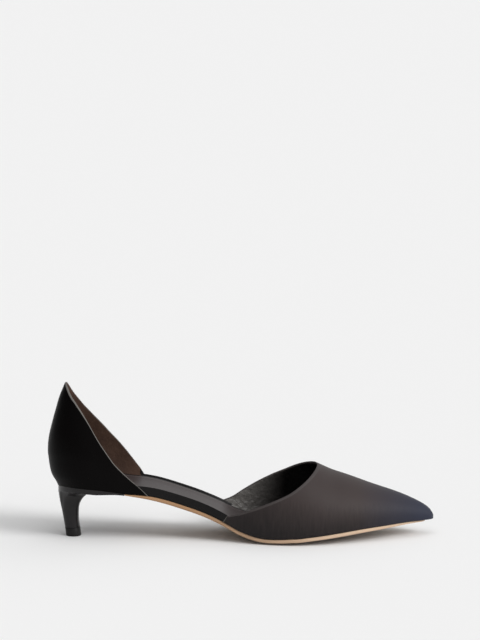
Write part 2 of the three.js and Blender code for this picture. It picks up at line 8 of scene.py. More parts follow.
# %% Load the frame
import bpy
import bmesh
import math
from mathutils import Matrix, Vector


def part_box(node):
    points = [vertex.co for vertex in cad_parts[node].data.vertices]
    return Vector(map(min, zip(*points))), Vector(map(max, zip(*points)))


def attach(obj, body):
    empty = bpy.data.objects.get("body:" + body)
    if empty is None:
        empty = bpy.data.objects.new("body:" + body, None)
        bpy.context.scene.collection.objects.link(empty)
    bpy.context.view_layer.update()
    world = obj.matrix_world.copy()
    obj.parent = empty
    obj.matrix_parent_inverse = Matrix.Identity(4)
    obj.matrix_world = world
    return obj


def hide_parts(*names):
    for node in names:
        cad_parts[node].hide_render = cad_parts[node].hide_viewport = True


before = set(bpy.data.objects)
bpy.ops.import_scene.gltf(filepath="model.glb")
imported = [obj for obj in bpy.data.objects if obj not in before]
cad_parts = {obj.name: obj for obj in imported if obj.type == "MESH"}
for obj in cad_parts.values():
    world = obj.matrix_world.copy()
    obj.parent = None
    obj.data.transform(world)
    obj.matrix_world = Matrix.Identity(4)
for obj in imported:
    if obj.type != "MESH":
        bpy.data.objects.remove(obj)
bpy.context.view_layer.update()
MM = 0.001
print("nodes:", sorted(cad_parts))

# %% [markdown]
# ## Sizes and tables
# The driving sizes are the ones the solids were built with. A few were moved by up to 4 mm after the first
# renders, and their comments say so. Each table has its column names in the first row, and each later row is
# a station along the shoe, in shares of a named size.

# %% Driving sizes
LENGTH = 260.6            # back plumb line to toe tip
HALF_BALL = 71 / 2        # half the sole's width at the ball
SEAT_HEIGHT = 34.1        # heel seat above the floor, at the back
TOE_LIFT = 9.2            # spring of the sole under the toe tip
THROAT_REACH = 182.3      # back plumb line to the middle of the throat
THROAT_HEIGHT = 48.6
COUNTER_PEAK = 104.1
COUNTER_RISE = 70         # peak above the heel seat
COUNTER_BULGE = 6.6       # how far the heel curve stands out behind the seat
SIDE_BAND = {"lateral": 5.9, "medial": 5.0}     # low bands at the waist; the solids have 5.0 on both sides
SEAT_RADIUS = 24
TOE_RADIUS = 4
WALL = 2.0                # upper with its lining, at the feather edge
EDGE_WALL = 1.4           # the same, thinned at the topline
STEP = 0.5                # overlay of counter and vamp on the side bands
SOLE_THICK = 2.6
TREAD_CROWN = 2.1
CLEARANCE = 0.3
INSOLE_THICK = 3.0
SOCK_THICK = 1.6

high_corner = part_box("upper")[1]
top_piece_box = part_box("top_piece")
MOVE_X = high_corner[0] / MM - LENGTH
MOVE_Y = (top_piece_box[0][1] + top_piece_box[1][1]) / 2 / MM
print("shoe datum sits at", round(MOVE_X, 2), round(MOVE_Y, 2), "mm")

# %% Tables of the last
# Bed under the foot: middle of the tread, lift of the toe, how far its edges lift, thickness of the sole.
BED = [
    ("at", "rise", "spring", "crown", "thick"),
    (0.0265, 0.944, 0.000, 0.48, 0.35),
    (0.0353, 0.985, 0.000, 0.52, 0.35),
    (0.0537, 1.003, 0.000, 0.52, 0.35),
    (0.0837, 1.000, 0.000, 0.52, 0.35),
    (0.1293, 0.974, 0.000, 0.57, 0.35),
    (0.1700, 0.933, 0.000, 0.62, 0.35),
    (0.2022, 0.891, 0.000, 0.62, 0.35),
    (0.2302, 0.853, 0.000, 0.57, 0.62),
    (0.2540, 0.821, 0.000, 0.52, 0.81),
    (0.2924, 0.751, 0.000, 0.48, 1.00),
    (0.3438, 0.630, 0.000, 0.43, 1.04),
    (0.3949, 0.496, 0.000, 0.38, 1.04),
    (0.4463, 0.323, 0.000, 0.43, 1.04),
    (0.4720, 0.217, 0.000, 0.52, 1.04),
    (0.4977, 0.117, 0.000, 0.57, 1.04),
    (0.5234, 0.053, 0.000, 0.62, 1.00),
    (0.5487, 0.012, 0.000, 0.67, 0.96),
    (0.5679, 0.000, 0.000, 0.69, 0.94),
    (0.6025, 0.000, 0.000, 0.76, 0.96),
    (0.6370, 0.000, 0.000, 1.00, 1.00),
    (0.6754, 0.000, 0.098, 1.05, 1.00),
    (0.7276, 0.000, 0.272, 1.00, 1.00),
    (0.8051, 0.000, 0.543, 0.86, 0.96),
    (0.8826, 0.000, 0.783, 0.57, 0.77),
    (0.9363, 0.000, 0.924, 0.43, 0.58),
    (0.9632, 0.000, 0.973, 0.33, 0.42),
    (1.0000, 0.000, 1.000, 0.24, 0.35),
]
# Outline of the bed seen from above: half widths, and where the middle line lies.
PLAN = [
    ("at", "lateral", "medial", "axis"),
    (0.0265, 0.637, 0.631, 0.000),
    (0.1186, 0.654, 0.648, 0.000),
    (0.1688, 0.662, 0.654, 0.000),
    (0.2057, 0.642, 0.631, 0.000),
    (0.2533, 0.617, 0.600, 0.000),
    (0.3070, 0.597, 0.572, 0.000),
    (0.3645, 0.589, 0.552, 0.000),
    (0.4068, 0.600, 0.546, 0.000),
    (0.4463, 0.648, 0.569, 0.000),
    (0.4977, 0.755, 0.645, 0.000),
    (0.5487, 0.885, 0.780, 0.000),
    (0.5986, 0.969, 0.901, 0.000),
    (0.6523, 1.003, 0.969, 0.000),
    (0.7022, 0.980, 0.963, 0.003),
    (0.7521, 0.904, 0.890, 0.008),
    (0.8058, 0.777, 0.761, 0.017),
    (0.8634, 0.603, 0.586, 0.031),
    (0.9210, 0.400, 0.383, 0.045),
    (0.9593, 0.259, 0.248, 0.054),
    (0.9847, 0.158, 0.149, 0.056),
    (1.0000, 0.113, 0.113, 0.056),
]
# Highest line of the last over the instep and toes.
RIDGE = [
    ("at", "high"),
    (0.3645, 1.502),
    (0.4605, 1.451),
    (0.4988, 1.405),
    (0.5372, 1.358),
    (0.5756, 1.296),
    (0.6140, 1.214),
    (0.6523, 1.121),
    (0.6995, 1.000),
    (0.7368, 0.909),
    (0.7675, 0.854),
    (0.7982, 0.796),
    (0.8300, 0.733),
    (0.8611, 0.677),
    (0.8922, 0.623),
    (0.9236, 0.560),
    (0.9547, 0.484),
    (0.9758, 0.422),
    (0.9889, 0.370),
    (0.9965, 0.321),
    (1.0000, 0.276),
]
# Heel curve of the last: how far the wall stands out at the back and at the sides.
COUNTER = [
    ("up", "back", "side"),
    (0.000, 0.00, 0.00),
    (0.040, 0.18, 0.12),
    (0.099, 0.56, 0.26),
    (0.157, 0.77, 0.33),
    (0.217, 0.88, 0.36),
    (0.276, 0.95, 0.35),
    (0.334, 1.02, 0.29),
    (0.394, 1.00, 0.18),
    (0.453, 0.94, 0.06),
    (0.511, 0.83, -0.09),
    (0.629, 0.52, -0.45),
    (0.746, 0.17, -0.82),
    (0.864, -0.20, -1.21),
    (1.000, -0.79, -1.67),
]
# Edge of the counter, falling from the peak to the side band. The solids' outer one is up to 0.9 mm lower.
QUARTER_LINE = [
    ("at", "lateral", "medial"),
    (0.0468, 1.000, 1.000),
    (0.0514, 0.977, 0.968),
    (0.0614, 0.931, 0.920),
    (0.0748, 0.888, 0.872),
    (0.0932, 0.826, 0.813),
    (0.1120, 0.755, 0.761),
    (0.1358, 0.655, 0.695),
    (0.1589, 0.570, 0.627),
    (0.1765, 0.509, 0.578),
    (0.1938, 0.463, 0.528),
    (0.2172, 0.406, 0.455),
    (0.2379, 0.361, 0.390),
    (0.2536, 0.327, 0.342),
    (0.2763, 0.274, 0.283),
]
# Edge of the vamp from the side band to the middle of the throat. A run is a share of that way.
THROAT_LATERAL = [
    ("run", "at", "high"),
    (0.000, 0.6637, 0.358),
    (0.103, 0.7054, 0.412),
    (0.240, 0.7663, 0.502),
    (0.386, 0.8327, 0.609),
    (0.518, 0.8936, 0.716),
    (0.688, 0.9550, 0.870),
    (0.842, 0.9868, 0.963),
    (1.000, 1.0000, 1.000),
]
THROAT_MEDIAL = [
    ("run", "at", "high"),
    (0.000, 0.6500, 0.383),
    (0.069, 0.6791, 0.418),
    (0.190, 0.7263, 0.525),
    (0.316, 0.7789, 0.632),
    (0.438, 0.8316, 0.724),
    (0.556, 0.8848, 0.809),
    (0.690, 0.9369, 0.903),
    (0.861, 0.9819, 0.975),
    (1.000, 1.0000, 1.000),
]

# %% [markdown]
# A table turns into a smooth curve that never overshoots its rows, so a level stretch in the table stays
# level on the shoe.

# %% Curves through the tables
def mix(a, b, t):
    return a + (b - a) * t


def clamp(v, low=0.0, high=1.0):
    return min(high, max(low, v))


def ease(v, low, high):
    t = clamp((v - low) / (high - low))
    return t * t * (3 - 2 * t)


def through(table, across, up, wide=1.0, tall=1.0):
    """Smooth curve through two columns of a table, held level outside its rows."""
    names = table[0]
    xs = [row[names.index(across)] * wide for row in table[1:]]
    ys = [row[names.index(up)] * tall for row in table[1:]]
    steps = [(ys[i + 1] - ys[i]) / (xs[i + 1] - xs[i]) for i in range(len(xs) - 1)]
    slopes = [steps[0]]
    for a, b in zip(steps, steps[1:]):
        slopes.append(0.0 if a * b <= 0 else 2 * a * b / (a + b))
    slopes.append(steps[-1])

    def curve(x):
        v = clamp(x, xs[0], xs[-1])
        i = 0
        while i < len(xs) - 2 and v > xs[i + 1]:
            i += 1
        h = xs[i + 1] - xs[i]
        t = (v - xs[i]) / h
        t2, t3 = t * t, t * t * t
        near = (2 * t3 - 3 * t2 + 1) * ys[i] + (t3 - 2 * t2 + t) * h * slopes[i]
        return near + (3 * t2 - 2 * t3) * ys[i + 1] + (t3 - t2) * h * slopes[i + 1]

    return curve


rise = through(BED, "at", "rise", LENGTH, SEAT_HEIGHT)
spring = through(BED, "at", "spring", LENGTH, TOE_LIFT)
crown = through(BED, "at", "crown", LENGTH, TREAD_CROWN)
sole_thick = through(BED, "at", "thick", LENGTH, SOLE_THICK)
axis = through(PLAN, "at", "axis", LENGTH, HALF_BALL)
ridge_high = through(RIDGE, "at", "high", LENGTH, THROAT_HEIGHT)
counter_back = through(COUNTER, "up", "back", COUNTER_RISE, COUNTER_BULGE)
counter_side = through(COUNTER, "up", "side", COUNTER_RISE, COUNTER_BULGE)
SIDES = {"lateral": -1, "medial": 1}
plan_half = {side: through(PLAN, "at", side, LENGTH, HALF_BALL) for side in SIDES}
quarter_line = {side: through(QUARTER_LINE, "at", side, LENGTH, COUNTER_PEAK) for side in SIDES}
THROATS = {"lateral": THROAT_LATERAL, "medial": THROAT_MEDIAL}
throat_at = {side: through(THROATS[side], "run", "at", 1, THROAT_REACH) for side in SIDES}
throat_high = {side: through(THROATS[side], "run", "high", 1, THROAT_HEIGHT) for side in SIDES}
print("ball half width:", round(plan_half["lateral"](0.65 * LENGTH), 1), "mm")

# %% [markdown]
# ## The last
# `bed` is the surface the foot stands on, `section` goes from the feather edge over the ridge of the vamp,
# and `counter` carries the seat outline up with the curve of a heel.

# %% Surfaces of the last
SEAT_BACK = PLAN[1][0] * LENGTH
LOW_SHARE = 0.25             # share of a section's rows that climb its low side wall
BELLY_SHARE = 0.24           # height of that wall in shares of the section's, up to a limit
BELLY_MOST = 11
BULGE_SHARE = 0.05           # how far that wall leans out, up to a limit
BULGE_MOST = 2.2
FLAT_TREAD = 0.35            # middle of the tread that stays level, in shares of its half width


def tread(x, v):
    edge = clamp((abs(v) - FLAT_TREAD) / (1 - FLAT_TREAD))
    return rise(x) + spring(x) + crown(x) * edge * edge


def bed(x, v):
    return tread(x, v) + sole_thick(x)


def foot(x):
    return bed(x, 1) + CLEARANCE


def half_width(side, x, inset=0.0, toe_shift=0.0):
    back = clamp((SEAT_BACK + SEAT_RADIUS - x) / (SEAT_RADIUS - inset))
    front = clamp((x - (LENGTH - toe_shift - TOE_RADIUS)) / TOE_RADIUS)
    flat = max(0.0, plan_half[side](x) - inset)
    return flat * math.sqrt(1 - back * back) * math.sqrt(1 - front * front)


def belly(x):
    tall = ridge_high(x) - foot(x)
    return tall, min(BELLY_SHARE * tall, BELLY_MOST)


def section(side, x, u, inset, toe_shift=0.0):
    tall, low = belly(x)
    half = half_width(side, x, inset, toe_shift)
    wide = half + min(BULGE_MOST, BULGE_SHARE * tall) * clamp(half / 3)
    if u <= LOW_SHARE:
        k = u / LOW_SHARE
        y = half + (wide - half) * (1 - (1 - k) * (1 - k))
        return Vector((x, axis(x) + SIDES[side] * y, foot(x) + low * k))
    turn = (u - LOW_SHARE) / (1 - LOW_SHARE) * math.pi / 2
    up = (tall - inset - low) * math.sin(turn)
    return Vector((x, axis(x) + SIDES[side] * wide * math.cos(turn), foot(x) + low + up))


def section_share(x, z):
    tall, low = belly(x)
    up = z - foot(x)
    if up <= low:
        return LOW_SHARE * clamp(up / low)
    return LOW_SHARE + (1 - LOW_SHARE) * math.asin(clamp((up - low) / (tall - low))) / (math.pi / 2)


def counter(side, x, fan, up, inset):
    if fan is None:
        y = plan_half[side](x) - inset + counter_side(up)
        return Vector((x, axis(x) + SIDES[side] * y, foot(x) + up))
    run = SEAT_RADIUS - inset
    x0 = SEAT_BACK + SEAT_RADIUS - run * math.cos(fan)
    nx, ny = -math.cos(fan), math.sin(fan)
    out = counter_back(up) * nx * nx + counter_side(up) * ny * ny
    y0 = (plan_half[side](x0) - inset) * math.sin(fan)
    outer_foot = foot(SEAT_BACK + SEAT_RADIUS * (1 - math.cos(fan)))
    base = mix(foot(x0), outer_foot, ease(up, 0, 0.3 * COUNTER_RISE))
    return Vector((x0 + nx * out, axis(x0) + SIDES[side] * (y0 + ny * out), base + up))


print("throat ridge:", round(ridge_high(THROAT_REACH), 1), "mm above the floor")

# %% [markdown]
# ## Mesh helpers
# The skins of a shoe are lofts: rings of points joined by faces. Curve objects could loft them too, but
# plain points keep every rib where the tables put it. One small class gathers points, faces, a material
# number and a UV for each face corner. The UVs are in millimetres along and across the piece, so a pattern
# can be scaled from its real size.

# %% Build a mesh piece
class Skin:
    def __init__(self):
        self.points, self.faces, self.slots, self.uvs = [], [], [], []

    def point(self, p):
        self.points.append(((p[0] + MOVE_X) * MM, (p[1] + MOVE_Y) * MM, p[2] * MM))
        return len(self.points) - 1

    def face(self, corners, slot=0, uv=None):
        self.faces.append(tuple(corners))
        self.slots.append(slot)
        self.uvs.append(uv or [(0.0, 0.0)] * len(corners))

    def tube(self, rings):
        """Faces between closed rings that have the same number of points."""
        for a, b in zip(rings, rings[1:]):
            for i in range(len(a)):
                j = (i + 1) % len(a)
                self.face([a[i], a[j], b[j], b[i]])

    def make(self, name, materials):
        mesh = bpy.data.meshes.new(name)
        mesh.from_pydata(self.points, [], self.faces)
        layer = mesh.uv_layers.new(name="UVMap")
        for polygon, slot, uv in zip(mesh.polygons, self.slots, self.uvs):
            polygon.material_index = slot
            polygon.use_smooth = True
            for loop, pair in zip(polygon.loop_indices, uv):
                layer.data[loop].uv = pair
        for material in materials:
            mesh.materials.append(material)
        work = bmesh.new()
        work.from_mesh(mesh)
        bmesh.ops.recalc_face_normals(work, faces=work.faces)
        work.to_mesh(mesh)
        work.free()
        piece = bpy.data.objects.new(name, mesh)
        bpy.context.scene.collection.objects.link(piece)
        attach(piece, "root")
        return piece

# %% [markdown]
# ## The upper
# On the real shoe the vamp, the side bands and the counter are cut thin, lined and pulled over a last. Here
# they are one closed skin, as leather and lining are one hollow solid. A station is a rib that rises from
# the feather edge to the topline, and the ribs follow each other round the shoe. The counter's front edge
# and the vamp's rear edge lean with their toplines and step down on to the low side bands.

# %% Stations round the upper
SEAM = 0.3                          # length of the step between an overlay and the side band
COUNTER_FOOT = 0.2610 * LENGTH      # where the counter's front edge meets the sole
COUNTER_SLANT = 6.4                 # how far that edge leans back on its way up
COUNTER_LEAN = 0.16 * LENGTH        # the ribs of the counter start to lean here
VAMP_SLANT = 6.6                    # how far the vamp's rear edge leans forward
BAND_BACK = (COUNTER_FOOT + SEAM, COUNTER_FOOT - COUNTER_SLANT + SEAM)
BAND_FRONT_FOOT = 0.4525 * LENGTH   # the solids have 0.4375
BAND_FRONT = (BAND_FRONT_FOOT, BAND_FRONT_FOOT + VAMP_SLANT)
BAND_BLEND = (0.31 * LENGTH, 0.44 * LENGTH)     # the band turns from heel curve to vamp section
VAMP_FOOT = BAND_FRONT[0] + SEAM
ROWS = 44
FAN_RIBS, QUARTER_RIBS, BAND_RIBS, VAMP_RIBS, TOE_RIBS = 30, 36, 30, 110, 14
# The last two slots carry painted highlights: a grey line on cut edges and a lighter satin on the vamp's
# fold.
VAMP, COUNTER_LEATHER, BAND, VAMP_LINING, COUNTER_LINING, EDGE_HIGHLIGHT, FOLD_HIGHLIGHT = range(7)
OUTER_SLOT = {"counter": COUNTER_LEATHER, "band": BAND, "vamp": VAMP}
INNER_SLOT = {"counter": COUNTER_LINING, "band": BAND, "vamp": VAMP_LINING}
EDGE_STRIP = 0.5                    # strip along the counter's front and the vamp's rear cut edges, drawn as a painted highlight
HALVINGS = 40


def counter_top(side, x, fan):
    """Rise at which a rib of the counter reaches the topline, found by halving."""
    low, high = 0.0, COUNTER_RISE * 1.2
    for _ in range(HALVINGS):
        up = (low + high) / 2
        p = counter(side, x, fan, up, 0)
        if p.z < quarter_line[side](p.x):
            low = up
        else:
            high = up
    return max(low, SIDE_BAND[side])


def quarter_turn(i, count):
    return i / count * math.pi / 2


def counter_ribs(side):
    made = []
    for i in range(FAN_RIBS):
        fan = quarter_turn(i, FAN_RIBS)
        made.append({"part": "counter", "fan": fan, "foot": None, "top": None,
                     "rise": counter_top(side, None, fan)})
    feet = [mix(SEAT_BACK + SEAT_RADIUS, COUNTER_FOOT, i / QUARTER_RIBS) for i in range(QUARTER_RIBS)]
    for x in feet + [COUNTER_FOOT - EDGE_STRIP, COUNTER_FOOT]:
        top = x - COUNTER_SLANT * ease(x, COUNTER_LEAN, COUNTER_FOOT)
        made.append({"part": "counter", "fan": None, "foot": x, "top": top,
                     "rise": counter_top(side, top, None)})
    return made


def band_ribs(side):
    made = []
    for i in range(BAND_RIBS + 1):
        f = i / BAND_RIBS
        made.append({"part": "band", "fan": None, "foot": mix(BAND_BACK[0], BAND_FRONT[0], f),
                     "top": mix(BAND_BACK[1], BAND_FRONT[1], f), "rise": SIDE_BAND[side]})
    return made


def vamp_ribs(side):
    """Ribs of the vamp, each with its run: the share of the feather edge from the band to the toe."""
    toe_start = LENGTH - TOE_RADIUS
    feet = [VAMP_FOOT]
    feet += [mix(VAMP_FOOT + EDGE_STRIP, toe_start, i / VAMP_RIBS) for i in range(VAMP_RIBS + 1)]
    feet += [toe_start + TOE_RADIUS * math.sin(quarter_turn(i, TOE_RIBS)) for i in range(1, TOE_RIBS + 1)]
    edge = [section(side, x, 0, 0).xy for x in feet]
    runs = [0.0]
    for a, b in zip(edge, edge[1:]):
        runs.append(runs[-1] + (b - a).length)
    return [{"part": "vamp", "fan": None, "foot": x, "run": run / runs[-1]} for x, run in zip(feet, runs)]


def ribs(side):
    return counter_ribs(side) + band_ribs(side) + vamp_ribs(side)


print("ribs on a side:", len(ribs("lateral")))

# %% [markdown]
# A rib of the vamp starts at its place on the feather edge and ends at the throat. Near the toe it first
# stands upright and then sweeps back, so the ribs never cross where the outline closes.

# %% Place a point of the upper
STAND = 0.16                 # low share of a toe rib that stands upright
TURN = 0.3                   # low share of a toe rib that turns over the side of the toe


def vamp_place(side, rib, t, toe_shift=0.0):
    shift = toe_shift * ((rib["foot"] - VAMP_FOOT) / (LENGTH - VAMP_FOOT)) ** 4
    to_x = throat_at[side](rib["run"])
    to_z = max(throat_high[side](rib["run"]), foot(to_x) + SIDE_BAND[side])
    to_u = 1.0 if rib["run"] >= 1 else section_share(to_x, to_z)
    toe = rib["run"] ** 3
    along = mix(t, clamp((t - STAND) / (1 - STAND)), toe)
    over = mix(t, 1 - (1 - clamp(t / TURN)) ** 2, toe)
    return mix(rib["foot"] - shift, to_x, along), to_u * over


def upper_point(side, rib, t, inset, toe_shift=0.0):
    if rib["part"] == "vamp":
        x, u = vamp_place(side, rib, t, toe_shift)
        return section(side, x, u, inset, toe_shift)
    if rib["fan"] is not None:
        return counter(side, None, rib["fan"], rib["rise"] * t, inset)
    x, up = mix(rib["foot"], rib["top"], t), rib["rise"] * t
    if rib["part"] == "counter":
        return counter(side, x, None, up, inset)
    p = counter(side, x, None, up, inset + STEP)
    q = section(side, x, section_share(x, foot(x) + up), inset + STEP)
    p.y = mix(p.y, q.y, ease(x, *BAND_BLEND))
    return p


print("throat point:", [round(v, 1) for v in upper_point("lateral", ribs("lateral")[-1], 1, 0)])

# %% [markdown]
# Each rib becomes one closed outline through both walls, with a rounded rim, and neighbouring outlines are
# joined. The material number of a face says whether it is outside, lining, folded edge or cut edge; the
# folded and cut edges carry painted highlights.

# %% Skin the upper
INNER_TOE = 6.8              # the lining's toe ends this far behind the outer toe
PEAK_THIN = 0.55             # share of the edge's wall left at the peak; the solid isn't thinned there
PEAK_FAN = 0.5               # radians round the heel until that wall is full again
RIM_POINTS = 3
RIB_PITCH = 1.5              # about one rib to the next, for the UVs


def rib_outline(side, rib):
    """Closed outline of one rib: outer wall up, over the rounded topline, inner wall down."""
    thin = EDGE_WALL
    if rib["fan"] is not None:
        thin *= mix(PEAK_THIN, 1, clamp(rib["fan"] / PEAK_FAN))
    outer = [upper_point(side, rib, k / ROWS, 0) for k in range(ROWS + 1)]
    inner = [upper_point(side, rib, k / ROWS, mix(WALL, thin, k / ROWS), INNER_TOE)
             for k in range(ROWS + 1)]
    a, b = outer[-1], inner[-1]
    middle, radius = (a + b) / 2, (a - b).length / 2
    up = (outer[-1] - outer[-2]).normalized()
    rim = []
    for k in range(1, RIM_POINTS + 1):
        turn = math.pi * k / (RIM_POINTS + 1)
        rim.append(middle + (a - middle) * math.cos(turn) + up * (radius * math.sin(turn)))
    return outer + rim + inner[::-1]


def on_edge(rib, other):
    """True for the narrow strip of faces along a cut edge beside the side band, painted as a highlight."""
    if rib["part"] != other["part"]:
        return True
    if rib["foot"] is None or other["foot"] is None:
        return False
    reach = 1.1 * EDGE_STRIP
    if rib["part"] == "counter":
        return min(rib["foot"], other["foot"]) > COUNTER_FOOT - reach
    return rib["part"] == "vamp" and max(rib["foot"], other["foot"]) < VAMP_FOOT + reach


def upper_slot(part, row, edge):
    if row < ROWS:
        # The vamp's last outer row and its rim take the lighter fold satin, a painted highlight.
        folded = part == "vamp" and row == ROWS - 1
        return EDGE_HIGHLIGHT if edge else FOLD_HIGHLIGHT if folded else OUTER_SLOT[part]
    if row < ROWS + RIM_POINTS + 1:
        return FOLD_HIGHLIGHT if part == "vamp" else EDGE_HIGHLIGHT if part == "counter" else BAND
    return INNER_SLOT[part]


def upper_uv(p, run, slot):
    if slot in (VAMP, VAMP_LINING):
        return p.x, math.hypot(p.y - axis(p.x), p.z)
    return run * RIB_PITCH, p.z


def build_upper():
    skin = Skin()
    loop = [("lateral", r) for r in ribs("lateral")]
    loop += [("medial", r) for r in ribs("medial")[1:-1][::-1]]
    outlines = [rib_outline(side, rib) for side, rib in loop]
    rings = [[skin.point(p) for p in outline] for outline in outlines]
    count = len(rings[0])
    for i, (side, rib) in enumerate(loop):
        j = (i + 1) % len(loop)
        other = loop[j][1]
        edge = on_edge(rib, other)
        part = rib["part"] if rib["part"] == other["part"] else "band"
        for k in range(count):
            m = (k + 1) % count
            slot = upper_slot(part, k, edge)
            corners = [(i, k, i), (j, k, i + 1), (j, m, i + 1), (i, m, i)]
            uv = [upper_uv(outlines[station][row], run, slot) for station, row, run in corners]
            skin.face([rings[station][row] for station, row, _ in corners], slot, uv)
    return skin


upper_skin = build_upper()
print("upper faces:", len(upper_skin.faces))

# %% [markdown]
# ## Plates on the bed
# Insole, sock lining and outsole are plates that follow the bed. Their outline is rounded at the ends and
# their edge is rounded in section, as a trimmed sole or a wrapped board is. A flat outline with a Solidify
# modifier would do for a level sole, but this one bends in both directions, so it is lofted in stations.

# %% Plates with rounded edges
EDGE_POINTS = 7
FLAT_POINTS = 16
EDGE_FULLNESS = 0.7          # below 1 the edge is squarer than a half circle
END_TURNS = [2, 5, 9, 14, 20, 27, 35, 44, 54, 65, 77]      # degrees round the end of a plate


def stations(start, end, back_round, front_round, pitch=2.0):
    bends = [1 - math.cos(math.radians(d)) for d in END_TURNS]
    xs = [start + back_round * bend for bend in bends] if back_round else []
    a, b = start + back_round, end - front_round
    n = round((b - a) / pitch)
    xs += [mix(a, b, i / n) for i in range(n + 1)]
    if front_round:
        xs += [end - front_round * bend for bend in bends[::-1]]
    return xs


def plate_ring(x, half, over, under, roll):
    """Points once round a plate at x, each with its distance from the plate's outline."""
    ring = []
    for sign, flat in [(1, over), (-1, under)]:
        for i in range(FLAT_POINTS + 1):
            v = (-1 + 2 * i / FLAT_POINTS) * sign
            h = half("lateral" if v < 0 else "medial", x)
            y = v * max(0.0, h - roll)
            ring.append(((x, axis(x) + y, flat(x, v)), h - abs(y)))
        h = half("medial" if sign > 0 else "lateral", x)
        inner = max(0.0, h - roll)
        top, low = over(x, sign), under(x, sign)
        for i in range(1, EDGE_POINTS):
            turn = math.pi * i / EDGE_POINTS
            y = sign * (inner + (h - inner) * math.sin(turn) ** EDGE_FULLNESS)
            z = (top + low) / 2 + sign * (top - low) / 2 * math.cos(turn)
            ring.append(((x, axis(x) + y, z), h - abs(y)))
    return ring


def build_plate(xs, half, over, under, roll, top_slot=0, edge_slot=1, low_slot=1):
    skin = Skin()
    made = [plate_ring(x, half, over, under, roll) for x in xs]
    rings = [[skin.point(p) for p, _ in ring] for ring in made]
    edge = [edge_slot] * EDGE_POINTS
    slots = [top_slot] * FLAT_POINTS + edge + [low_slot] * FLAT_POINTS + edge
    n = len(rings[0])
    for k in range(len(xs) - 1):
        for i in range(n):
            j = (i + 1) % n
            corners = [(k, i), (k, j), (k + 1, j), (k + 1, i)]
            uv = [(xs[row], made[row][at][1]) for row, at in corners]
            skin.face([rings[row][at] for row, at in corners], slots[i], uv)
    skin.face(rings[0], edge_slot)
    skin.face(rings[-1][::-1], edge_slot)
    return skin


# %% Insole and sock lining
LINING_TIP = 5               # rounding of both at the toe
EDGE_ROLL = {"insole": 1.2, "sock": 1.3, "sole": 0.8}
INSOLE_INSET = WALL + STEP + CLEARANCE
INSOLE_SETBACK = 17
SOCK_INSET = INSOLE_INSET + 0.5
SOCK_SETBACK = 22
SOCK_LIFT = 2 * CLEARANCE + INSOLE_THICK


def lining_plate(inset, setback, lift, thick, roll):
    start, end = SEAT_BACK + inset, LENGTH - setback
    back_round = SEAT_RADIUS - inset

    def half(side, x):
        back = clamp((start + back_round - x) / back_round)
        front = clamp((x - (end - LINING_TIP)) / LINING_TIP)
        return (plan_half[side](x) - inset) * math.sqrt(1 - back * back) * math.sqrt(1 - front * front)

    xs = stations(start, end, back_round, LINING_TIP)
    return build_plate(xs, half, lambda x, v: bed(x, v) + lift + thick, lambda x, v: bed(x, v) + lift, roll)


insole_skin = lining_plate(INSOLE_INSET, INSOLE_SETBACK, CLEARANCE, INSOLE_THICK, EDGE_ROLL["insole"])
sock_skin = lining_plate(SOCK_INSET, SOCK_SETBACK, SOCK_LIFT, SOCK_THICK, EDGE_ROLL["sock"])
print("lining faces:", len(insole_skin.faces), len(sock_skin.faces))

# %% Outsole
LIP_REACH = 52.4             # front of the heel's lip, where the sole starts
SOLE_END = LENGTH - 5.6
SOLE_TIP = 3
SOLE_SHY = 1.2               # the sole's edge stands this far inside the upper at the toe
SHY_START = 0.84 * LENGTH


def sole_half(side, x):
    k = clamp((x - (SOLE_END - SOLE_TIP)) / SOLE_TIP)
    shy = mix(0, SOLE_SHY, ease(x, SHY_START, SOLE_END))
    return (half_width(side, x) - shy) * math.sqrt(1 - k * k)


sole_stations = stations(LIP_REACH + CLEARANCE, SOLE_END, 0, SOLE_TIP)
sole_skin = build_plate(sole_stations, sole_half, bed, tread, EDGE_ROLL["sole"], low_slot=2)
print("sole faces:", len(sole_skin.faces))

# %% [markdown]
# ## The heel
# A kitten heel is a small block covered in the leather of the shoe. Its seat cup follows the bed and thins
# into a lip at the front. Its underside runs inward, then turns down through the breast curve into a slim
# shaft. The rings that leave the seat keep its points, so cup, curve and shaft are one skin with no seam.

# %% Sizes of the heel
HEEL_LIP, LIP_TIP = 3.3, 1.0
BREAST_RADIUS = 13.4         # the solid has 12.5; the photo's curve is a little fuller
TOP_PIECE_HEIGHT = 5.5
TOP_PIECE_FLARE = 0.5
TOP_PIECE_LEAN = 0.7         # its back leans forward by this much at the floor
SHAFT = [
    ("down", "back", "front", "half"),
    (0.000, 0.0293, 0.0920, 0.300),
    (0.170, 0.0307, 0.0865, 0.235),
    (0.460, 0.0347, 0.0806, 0.194),
    (0.740, 0.0393, 0.0794, 0.178),
    (1.000, 0.0434, 0.0826, 0.182),
]
TOP_PIECE = [
    ("up", "flare"),
    (0.00, 0.75),
    (0.25, 1.00),
    (2.50, 0.60),
    (5.20, 0.00),
    (TOP_PIECE_HEIGHT, -0.35),
]
FILLET_TOP = SEAT_HEIGHT - HEEL_LIP
FILLET_LOW = FILLET_TOP - BREAST_RADIUS
SHAFT_END = TOP_PIECE_HEIGHT + CLEARANCE
OVAL_FULLNESS = 0.8          # below 1 the shaft's section is fuller than an ellipse
shaft_tall = FILLET_TOP - SHAFT_END
shaft_back = through(SHAFT, "down", "back", shaft_tall, LENGTH)
shaft_front = through(SHAFT, "down", "front", shaft_tall, LENGTH)
shaft_half = through(SHAFT, "down", "half", shaft_tall, HALF_BALL)


def fuller(v):
    return math.copysign(abs(v) ** OVAL_FULLNESS, v)


def oval(shares, back, front, half, z):
    cx, rx = (back + front) / 2, (front - back) / 2
    turns = [math.pi + share * 2 * math.pi for share in shares]
    return [Vector((cx + fuller(math.cos(a)) * rx, fuller(math.sin(a)) * half, z)) for a in turns]


def shaft_ring(shares, z):
    d = FILLET_TOP - z
    return oval(shares, shaft_back(d), shaft_front(d), shaft_half(d), z)


print("shaft:", round(shaft_tall, 1), "mm tall")

